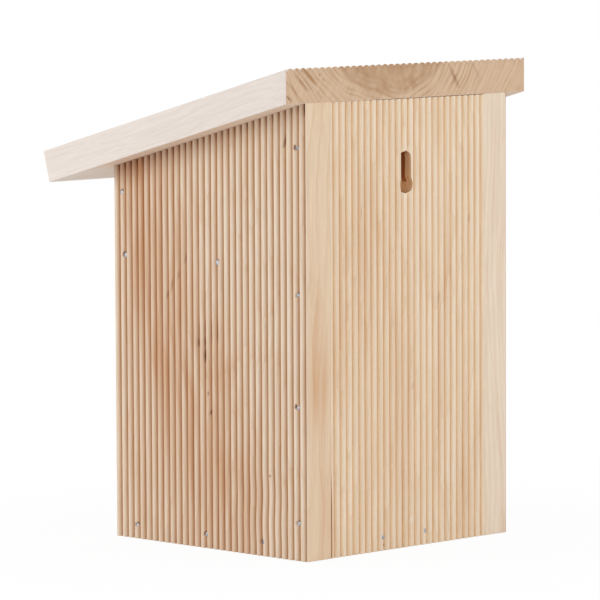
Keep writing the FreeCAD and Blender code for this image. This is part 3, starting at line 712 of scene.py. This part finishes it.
# Nest block
# A block of pine on the shelf, drilled from the front with three 8 mm and four 5 mm holes for solitary bees.
BLOCK_HOLE_DEPTH = 74 * MM
# Each row of holes: height in the block, spacing, count and radius.
BLOCK_ROWS = ((14 * MM, 36 * MM, 3, 4 * MM), (28 * MM, 22 * MM, 4, 2.5 * MM))
BIT_TURNS = 40
BIT_TIP = 1.5 * MM
BIT_TIP_SHARE = 0.35


def drill_bits(low, high):
    """The solids that the drill takes out of the block between two corners, each with a blunt inner end."""
    bits = []
    stations = np.array([-CUTTER_OVERRUN, BLOCK_HOLE_DEPTH - BIT_TIP, BLOCK_HOLE_DEPTH])[:, None]
    shares = np.repeat([[1.0], [1.0], [BIT_TIP_SHARE]], BIT_TURNS, 1)
    for rise, spacing, count, radius in BLOCK_ROWS:
        points, faces = turned(radius * shares, stations, BIT_TURNS)
        for hole in range(count):
            middle = (low[0] + high[0]) / 2 + (hole - (count - 1) / 2) * spacing
            placed = points + [middle, low[1], low[2] + rise]
            bits.append(finished(f"bit_{len(bits)}", [drilled_pine], placed, faces))
    return bits


BLOCK_WOOD = {"pith": (-150, -60), "ring_gap": 3.0, "ring_share": 0.45, "streaks": 0.25, **GRAIN_ACROSS}
block_pine = planed_pine("planed_pine_block", pale="#e5cba8", ring="#c79a68", heart_and_shade="#bd8d5e", **BLOCK_WOOD)
drilled_pine = planed_pine(
    "drilled_pine_holes", pale="#b98d5d", ring="#946640", heart_and_shade="#946640", end_pale="#b98d5d",
    end_dark="#7d5431", **BLOCK_WOOD)
block = finished("drilled_block", [block_pine, drilled_pine], *plain_shell("nest_block"))
cut_away(block, drill_bits(*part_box("nest_block")))
stands_for(block, "nest_block")


# Bamboo canes
# Cut lengths of bamboo laid loose below the shelf, open at the front and closed by a node at the rear.
# The saw leaves a pale ring at each end, dotted with the dark ends of the fibres, inside a glossy straw skin.
# Bore of a cane by its width, both in mm.
CANE_BORES = {22: 9.5, 20: 8.0, 18: 6.5, 16: 5.5, 13: 4.5}
CANE_PLUG = 16 * MM
CANE_TURNS = 44
CANE_SEED = 100
STEM_FIBRE_WIDTH = 0.8 * MM
STEM_FIBRE_LENGTH = 45 * MM
STEM_BLOTCH = 14 * MM
# How far an oval and a three-lobed wave draw in the skin, as shares of its radius, and the bore's part in it.
OVAL_SHARE = 0.018
LOBE_SHARE = 0.010
BORE_OVAL = 0.4
# The place of the stem's joint, as a share from the front, and how far its ridges and its swelling reach.
JOINT_SPAN = (0.35, 0.7)
JOINT_RIDGE = 1.2 * MM
JOINT_REACH = 4 * MM
# How far the sawn end may lean, and how much of the fibre dots shows next to the bore.
SAW_LEAN = 0.35 * MM
INNER_DOTS = 0.25


def cut_stem(name, skin, skin_dark, cut, fibre_dot, bore, dot_gap):
    """Dried grass stem, bamboo or reed: waxy skin with lengthwise fibres, dotted sawn end and papery bore.

    dot_gap is the spacing of the fibre ends in mm, drawn about twice as coarse as in the plant, to show.
    """
    material, tree = blank_material(name)
    place = node(tree, "TexCoord").outputs["Object"]
    lengthwise = node(tree, "Mapping", {
        "Vector": place, "Scale": (1 / STEM_FIBRE_WIDTH, 1 / STEM_FIBRE_LENGTH, 1 / STEM_FIBRE_WIDTH)})
    fibre = noise(tree, lengthwise.outputs[0], detail=3.0)["Fac"]
    blotch = noise(tree, place, scale=1 / STEM_BLOTCH)["Fac"]
    mottled = maths(tree, "MULTIPLY_ADD", fibre, 0.6, blotch)
    colour = mixed(tree, mapped(tree, mottled, 0.55, 1.05), skin, skin_dark)
    dots = node(tree, "TexVoronoi", {"Vector": place, "Scale": 1 / (dot_gap * MM)}).outputs["Distance"]
    dense = maths(tree, "MULTIPLY", mapped(tree, dots, 0.18, 0.45, 0.85, 0.0), painted(tree, "wall"))
    cut_here = painted(tree, "cut")
    colour = mixed(tree, cut_here, colour, mixed(tree, dense, cut, fibre_dot))
    colour = tinted(tree, colour, "bore", bore)
    tone = painted(tree, "tone")
    value = mapped(tree, tone, 0, 1, 0.78, 1.08)
    hue = mapped(tree, tone, 0, 1, 0.493, 0.503)
    colour = node(tree, "HueSaturation", {"Hue": hue, "Value": value, "Color": colour}).outputs[0]
    coat(tree, fibre, 0.3, 0.1 * MM, {
        "Base Color": colour, "Roughness": mapped(tree, cut_here, 0, 1, 0.36, 0.75), "IOR": 1.5})
    return material


def stem(low, high, bore_radius, turns, chance):
    """A hollow stem along y in its box, turned: skin from the rear, sawn front end, then back down the bore.

    The skin is a circle drawn in by an oval and a three-lobed wave, and thinner between its nodes.
    Returns points, faces and the attributes that tell skin, cut end, wall and bore apart.
    """
    radius = (high[0] - low[0]) / 2
    front, rear = low[1], high[1]
    angle = np.linspace(0, FULL_TURN, turns, endpoint=False)
    start_two, start_three, start_lean = chance.uniform(0, FULL_TURN, 3)
    oval = OVAL_SHARE * (1 + np.cos(2 * angle + start_two))
    oval = oval + LOBE_SHARE * (1 + np.cos(3 * angle + start_three))
    joint = chance.uniform(*JOINT_SPAN) * (rear - front) + front
    lean = chance.uniform(0.0, SAW_LEAN) * (1 + np.cos(angle + start_lean))

    # The skin's stations from the rear, and the share of the radius that each is drawn in by.
    skin_y = np.array([
        rear, rear - 0.6 * MM, rear - CANE_PLUG, joint + JOINT_REACH, joint + JOINT_RIDGE, joint,
        joint - JOINT_RIDGE, joint - JOINT_REACH, (joint + front) / 2, front + 8 * MM, front + 2 * MM,
        front + 0.35 * MM])
    drawn = np.array([0.3, 0, 0.01, 0.02, 0, 0.01, 0, 0.02, 0.015, 0.015, 0.015, 0.02])
    outer = radius * (1 - drawn[:, None] - oval)

    # The sawn end's rings, as shares of the wall from the bore to the skin.
    share = np.array([0.985, 0.9, 0.6, 0.3, 0.06])
    face = bore_radius + share[:, None] * (outer[-1] - bore_radius)
    face_y = np.repeat(front + lean[None], len(share), 0)

    # The bore's stations from the front, and the share that each is wider by.
    plug = rear - CANE_PLUG
    inner_y = np.array([
        front + 0.5 * MM, front + 4 * MM, front + 14 * MM, (front + plug) / 2, plug - 3 * MM, plug])
    swell = np.array([0.0, 0.03, 0.05, 0.05, 0.02, -0.5])
    inner = bore_radius * (1 + swell[:, None] + BORE_OVAL * oval)
    skin_y, inner_y = (np.repeat(part[:, None], turns, 1) for part in (skin_y, inner_y))
    along = np.concatenate([skin_y, face_y, inner_y])
    along[len(skin_y) - 1] += lean
    along[len(skin_y) + len(share)] += lean
    points, faces = turned(np.concatenate([outer, face, inner]), along, turns)
    points = points + [(low[0] + high[0]) / 2, 0, (low[2] + high[2]) / 2]

    # The last two points close the rear end and the bore.
    counts = np.multiply((len(skin_y), len(share), len(inner_y)), turns)
    wall = np.concatenate([np.zeros(counts[0]), np.repeat(share, turns), np.zeros(counts[2] + 2)])
    return points, faces, {
        "cut": np.append(np.repeat([0.0, 1.0, 0.0], counts), (0.0, 0.0)),
        "bore": np.append(np.repeat([0.0, 0.0, 1.0], counts), (0.0, 1.0)),
        "wall": INNER_DOTS + (1 - INNER_DOTS) * wall, "tone": np.full(len(points), chance.uniform(0, 1))}


bamboo = cut_stem("dried_bamboo", skin="#d2b283", skin_dark="#a98659", cut="#e3cca6", fibre_dot="#9a784c",
                  bore="#c9a56c", dot_gap=0.8)
cane_names = sorted(name for name in frame["nodes"] if name.startswith("bamboo_cane_"))
for number, cane_name in enumerate(cane_names, start=1):
    low, high = np.array(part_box(cane_name))
    bore_radius = CANE_BORES[round((high[0] - low[0]) / MM)] / 2 * MM
    chance = np.random.default_rng(CANE_SEED + number)
    cane = finished(f"cane_{number:02d}", [bamboo], *stem(low, high, bore_radius, CANE_TURNS, chance))
    stands_for(cane, cane_name)


# Thin reeds
# Hollow reed stems pushed into the gaps between the canes, so that these don't rattle.
REED_BORE = 3.6 * MM
REED_TURNS = 24
REED_SEED = 300


def joined(shapes):
    """Several shapes as one: each is its points, its faces and its attributes."""
    points, faces, marks = zip(*shapes)
    starts = np.cumsum([0, *(len(part) for part in points)])
    shifted = [loop + start for start, loops in zip(starts, faces) for loop in loops]
    values = {key: np.concatenate([mark[key] for mark in marks]) for key in marks[0]}
    return np.concatenate(points), shifted, values


reed_straw = cut_stem("dried_reed", skin="#dcc58f", skin_dark="#b99a63", cut="#ead7ac", fibre_dot="#a98855",
                      bore="#d8bd85", dot_gap=0.8)
reeds = [stem(low, high, REED_BORE / 2, REED_TURNS, np.random.default_rng(REED_SEED + number))
         for number, (low, high) in enumerate(solid_boxes("thin_reeds"))]
stands_for(finished("reed_stems", [reed_straw], *joined(reeds)), "thin_reeds")


# Roof
# A reeded pine board nailed on the sloped tops, flush with the back, where its plumb end shows its rings.
# It overhangs both sides and the front.
ROOF_FIRST_GROOVE = 2.87 * MM
ROOF_THICKNESS = 18 * MM
ROOF_CREST_RISE = 0.35 * MM
ROOF_STEP = 6 * MM
ROOF_THROUGH_STEP = 0.7 * MM
ROOF_SEED = 21
# The board's underside is meshed this many steps in from its edges, where it shows beside the walls.
ROOF_RIM_STEPS = 34
# On the sawn rear end: the pith of the rings at x and z, how far the brown heartwood reaches from it, the
# dark ring at its limit, and the browner rim along the ribs, from a share of the thickness up.
ROOF_PITH = (13.5 * MM, 308 * MM)
HEART_REACH = (56 * MM, 61 * MM)
HEART_SHARE = 0.5
ARC_RADIUS = 58.5 * MM
ARC_WIDTH = 1.3 * MM
ARC_SHARE = 0.2
RIM_FROM = 0.92
RIM_SHARE = 0.35
RIM_OUTSIDE = 0.4
# Brown streaks, dark spots and pale lines across that end, each a line as line_marks takes it, measured from
# the left verge and from the floor.
END_STREAKS = (
    (170.6, 261.4, 11, 1.6, 1.35, 1.08), (176.1, 258, 10, 1.4, 1.25, 1.0), (172.4, 258, 9.5, 0.8, 0.8, 1.0),
    (186.5, 257.2, 4, 0.5, 1.0, 0.64), (182.1, 254.1, 10.5, 0.65, 0.95, 0.92),
    (162.9, 250.8, 6, 0.8, 0.7, 0.8), (160.2, 252.4, 7, 0.7, 0.55, 0.85), (152.1, 261.8, 11, 0.65, 0.6, 0.97))
END_SPOTS = (
    (186, 250, 3.6, 0.7, 0.85, 1.25), (159.6, 259, 2.4, 0.5, 0.5, 0.5), (162.5, 261.8, 1.8, 0.5, 0.6, 0.0),
    (57.4, 257.4, 14.5, 1.4, 0.46, 0.6), (39.7, 260, 9, 0.9, 0.28, 0.7))
END_PALE_LINES = ((173.3, 257.3, 11, 0.5, 0.35, 1.0), (169.3, 257.9, 12, 0.5, 0.35, 1.05))
# Warm streaks on the reeded top. That and the underside, from a distance behind the front edge, take the
# material's edge colour.
ROOF_HEARTS = (
    ((-46, -20, 240), (9, 70, 40), 0.26), ((24, 10, 245), (12, 80, 40), 0.22),
    ((70, -40, 235), (8, 60, 40), 0.2))
TOP_SHARE = 0.9
TOP_FADE = 45 * MM
UNDERSIDE_SPAN = np.array([30, 45]) * MM
roof_pine = planed_pine(
    "planed_pine_roof", pale="#e9dfd7", ring="#dac6b4", heart_and_shade="#b08863", pith=(13.5, -279), ring_gap=2.1,
    ring_share=0.25, streaks=0.06, edge="#fff3e6", groove="#f6e6d4", end_pale="#dcbea0", end_dark="#b28b66",
    grain_axis=(0, math.cos(ROOF_SLOPE), math.sin(ROOF_SLOPE)), turn=(math.pi / 2 - ROOF_SLOPE, 0, 0))


def reeded_roof():
    """The roof as a lattice: across runs along x, along runs down the slope, through runs up to the ribs.

    At the rear each layer starts on the plumb plane of the back, so higher layers start further up the slope.
    """
    low, high = np.array(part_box("roof"))
    wide = high[0] - low[0]
    sine, cosine, tangent = math.sin(ROOF_SLOPE), math.cos(ROOF_SLOPE), math.tan(ROOF_SLOPE)
    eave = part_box("back_panel")[1][2]
    long = (high[1] - low[1] - ROOF_THICKNESS * sine) / cosine
    heads = [(a + b) / 2 for a, b in solid_boxes("roof_nails")]
    nails = [(head[0] - low[0], (high[1] - head[1]) * cosine + (eave - head[2]) * sine) for head in heads]
    across = steps_along(wide, wide, rib_columns(wide, ROOF_FIRST_GROOVE))
    along = steps_along(long, ROOF_STEP, np.concatenate([down + DENT_ROWS for _, down in nails]))
    through = steps_along(ROOF_THICKNESS, ROOF_THROUGH_STEP)
    points, step, faces = board_shell(across, along, through, ROOF_RIM_STEPS)
    u, v, w = points.T
    on_top = step[:, 2] == step[:, 2].max()
    at_rear = step[:, 1] == 0
    chance = np.random.default_rng(ROOF_SEED)
    groove, depth, _ = reeding(across[step[:, 0]], ROOF_FIRST_GROOVE, chance)
    crest = ROOF_CREST_RISE * (1 - depth / RIB_RISE)
    rim = soft_step(w / ROOF_THICKNESS, RIM_FROM, 1.0)
    w = w + (crest - dented(depth, u, v, nails, chance)) * w / ROOF_THICKNESS
    v = v - w * tangent * (1 - v / long)
    x, y, z = low[0] + u, high[1] - v * cosine - w * sine, eave - v * sine + w * cosine
    placed = np.stack([x, y, z], 1)

    # The brown of the rear end: heartwood inside its limit, the ring on that, the rim, and the streaks.
    from_pith = np.hypot(x - ROOF_PITH[0], z - ROOF_PITH[1])
    inside = 1 - soft_step(from_pith, *HEART_REACH)
    arc = ARC_SHARE * np.exp(-(((from_pith - ARC_RADIUS) / ARC_WIDTH) ** 2))
    browned = (RIM_OUTSIDE + (1 - RIM_OUTSIDE) * inside) * RIM_SHARE * rim
    brown = inside * HEART_SHARE + browned + arc + line_marks(u, z, END_STREAKS)
    from_verge = np.minimum(u, wide - u)
    underside = (step[:, 2] == 0) * soft_step(y, *(low[1] + UNDERSIDE_SPAN))
    # The grooves on the top take a painted shade, except within half a pitch of each verge.
    return finished("reeded_roof", [roof_pine], placed, faces, {
        "groove": (on_top & (from_verge > RIB_PITCH / 2)) * groove,
        "heart_and_shade": at_rear * brown + on_top * lobes(placed, ROOF_HEARTS),
        "flaw_and_shade": at_rear * line_marks(u, z, END_SPOTS), "scuff_and_highlight": at_rear * line_marks(u, z, END_PALE_LINES),
        "edge": underside + TOP_SHARE * on_top * soft_step(from_verge, 0, TOP_FADE)})


stands_for(reeded_roof(), "roof")


# Nails
# Bright steel nails with small flat heads, driven a little below the rib crests.
NAIL_TURNS = 18
NAIL_HEAD_RADIUS = 1.4 * MM
NAIL_LENGTH = 35 * MM
NAIL_HEAD_DEPTH = 1.2 * MM
NAIL_LEAN = 0.16
NAIL_SEED = 31
# Some heads stand prouder: those in front of the first distance and above the second.
NAIL_PROUD = 0.45 * MM
SIDE_PROUD = (50 * MM, 100 * MM)
ALL_PROUD = (100 * MM, 0)
# The nail's outline: depth below the top of its head, and radius as a share of the head's.
NAIL_DEPTHS = np.array([0.0, 0.05, 0.2, 0.5, 0.75, 0.85, 1.6, 32.0, 34.2, 35.0]) * MM
NAIL_WIDTHS = np.array([0.55, 0.86, 0.98, 1.0, 0.9, 0.57, 0.57, 0.57, 0.3, 0.04])
# A direction that no nail lies along.
ASKEW = (0.36, 0.48, 0.8)
# Hammer scuffs of this size break up the steel's reflection.
SCUFF_SIZE = 0.5 * MM
steel, tree = blank_material("bright_steel_nails")
scuffs = noise(tree, node(tree, "TexCoord").outputs["Object"], scale=1 / SCUFF_SIZE)["Fac"]
coat(tree, scuffs, 0.5, 0.2 * MM, {
    "Base Color": linear("#9fa3aa"), "Metallic": 1.0, "Roughness": mapped(tree, scuffs, 0, 1, 0.22, 0.5)})


def nail_set(name, node_name, axis, proud):
    """The nails of one CAD node as turned shapes: a crowned head with a rounded rim, a shank and a point.

    The profile runs from the head's top inwards along the axis, which points out of the wood. Heads lean.
    """
    widths = np.repeat(NAIL_WIDTHS[:, None] * NAIL_HEAD_RADIUS, NAIL_TURNS, 1)
    points, faces = turned(widths, NAIL_DEPTHS[:, None], NAIL_TURNS)
    axis = np.array(axis, float)
    sideways = np.cross(axis, ASKEW)
    sideways /= np.linalg.norm(sideways)
    up = np.cross(axis, sideways)
    nails = []
    chance = np.random.default_rng(NAIL_SEED)
    for low, high in solid_boxes(node_name):
        middle = (low + high) / 2
        stands = NAIL_PROUD if middle[1] < proud[0] and middle[2] > proud[1] else 0
        head = middle + axis * (NAIL_LENGTH / 2 + stands)
        lean = points[:, [0, 2]] @ chance.uniform(-NAIL_LEAN, NAIL_LEAN, 2) * (points[:, 1] < NAIL_HEAD_DEPTH)
        depth = points[:, 1] + lean
        placed = head + points[:, :1] * sideways - depth[:, None] * axis + points[:, 2:] * up
        nails.append((placed, faces, {}))
    stands_for(finished(name, [steel], *joined(nails)), node_name)


nail_set("nails_right", "right_side_nails", (1, 0, 0), SIDE_PROUD)
nail_set("nails_left", "left_side_nails", (-1, 0, 0), SIDE_PROUD)
nail_set("nails_rear", "rear_nails", (0, 1, 0), ALL_PROUD)
nail_set("nails_roof", "roof_nails", (0, -math.sin(ROOF_SLOPE), math.cos(ROOF_SLOPE)), ALL_PROUD)


# Studio
# A plain white floor that keeps a faint shadow, a white surround, and a soft box on each side of the camera.
FLOOR_SIZE = 12.0
FLOOR_DROP = 0.3 * MM
FLOOR_GLOW = 0.95
SHADOW_REACH = (0.10, 0.35)
WORLD_LIGHT = 0.72
WHITE = (1, 1, 1, 1)
OBJECT_MIDDLE = np.array([0, 0, 0.12])
# Each lamp: name, azimuth and elevation in degrees, distance and size in metres, power in watts.
LAMPS = (("soft_box_left", 52, 22, 1.6, 1.1, 7.9), ("soft_box_right", 190, 17, 1.6, 1.1, 4.9))
# The camera stands behind the box, off its right rear corner, with a long lens.
CAMERA_EYE = (1.85887, 1.84594, 0.37302)
CAMERA_ANGLES = (134.939, 5.264)
CAMERA_ROLL = math.radians(-0.26)
CAMERA_SENSOR = 36
CAMERA_LENS = 282.74
CAMERA_CLIP = 50


def seen_directly(tree):
    """1 for rays from the camera, from mirrors and through glass, and 0 for those that light the object."""
    rays = node(tree, "LightPath").outputs
    seen = maths(tree, "MAXIMUM", rays["Is Camera Ray"], rays["Is Glossy Ray"])
    return maths(tree, "MAXIMUM", seen, rays["Is Transmission Ray"])


def direction(azimuth, elevation):
    """Unit vector from the object towards a place round it: azimuth 0 is in front, at -y, and 90 is at +x."""
    azimuth, elevation = math.radians(azimuth), math.radians(elevation)
    return np.array([math.sin(azimuth) * math.cos(elevation), -math.cos(azimuth) * math.cos(elevation),
                     math.sin(elevation)])


def facing_matrix(towards, roll, at):
    """Placement whose Z axis points along towards, with X level apart from the roll."""
    right = np.cross([0, 0, 1], towards)
    right /= np.linalg.norm(right)
    up = np.cross(towards, right)
    c, s = math.cos(roll), math.sin(roll)
    axes = np.array([c * right + s * up, -s * right + c * up, towards]).T
    return Matrix([[*axes[k], at[k]] for k in range(3)] + [[0, 0, 0, 1]])


# The floor glows as white as the surround, and a little less close to the object, where its shadow shows.
half = FLOOR_SIZE / 2
floor_corners = [(x, y, -FLOOR_DROP) for x, y in ((-half, -half), (half, -half), (half, half), (-half, half))]
floor_mesh = bpy.data.meshes.new("studio_floor")
floor_mesh.from_pydata(floor_corners, [], [(0, 1, 2, 3)])
white, tree = blank_material("white_paper_floor")
away = vector_maths(tree, "LENGTH", node(tree, "TexCoord").outputs["Object"])
paleness = mapped(tree, away, *SHADOW_REACH, FLOOR_GLOW, 1.0, curve="SMOOTHSTEP")
glow_part = maths(tree, "MULTIPLY", seen_directly(tree), paleness)
paper = node(tree, "BsdfDiffuse", {"Color": linear("#f4f4f4")})
glow = node(tree, "Emission", {"Strength": 1.0})
paper_mix = node(tree, "MixShader", {0: glow_part, 1: paper.outputs[0], 2: glow.outputs[0]})
node(tree, "OutputMaterial", {"Surface": paper_mix.outputs[0]})
floor_mesh.materials.append(white)
floor = bpy.data.objects.new("studio_floor", floor_mesh)
bpy.context.scene.collection.objects.link(floor)

world = bpy.data.worlds.new("white_surround")
bpy.context.scene.world = world
world.use_nodes = True
tree = world.node_tree
tree.nodes.clear()
dim = node(tree, "Background", {"Color": WHITE, "Strength": WORLD_LIGHT})
bright = node(tree, "Background", {"Color": WHITE, "Strength": 1.0})
both = node(tree, "MixShader", {0: seen_directly(tree), 1: dim.outputs[0], 2: bright.outputs[0]})
node(tree, "OutputWorld", {"Surface": both.outputs[0]})

for lamp_name, azimuth, elevation, distance, size, power in LAMPS:
    lamp = bpy.data.lights.new(lamp_name, "AREA")
    lamp.shape = "SQUARE"
    lamp.size = size
    lamp.energy = power
    lamp_object = bpy.data.objects.new(lamp_name, lamp)
    towards = direction(azimuth, elevation)
    lamp_object.matrix_world = facing_matrix(towards, 0, OBJECT_MIDDLE + distance * towards)
    bpy.context.scene.collection.objects.link(lamp_object)

camera = bpy.data.cameras.new("camera")
camera.sensor_width = CAMERA_SENSOR
camera.lens = CAMERA_LENS
camera.clip_end = CAMERA_CLIP
camera_object = bpy.data.objects.new("camera", camera)
camera_object.matrix_world = facing_matrix(direction(*CAMERA_ANGLES), CAMERA_ROLL, CAMERA_EYE)
bpy.context.scene.collection.objects.link(camera_object)
bpy.context.scene.camera = camera_object
bpy.context.scene.view_settings.view_transform = "Standard"
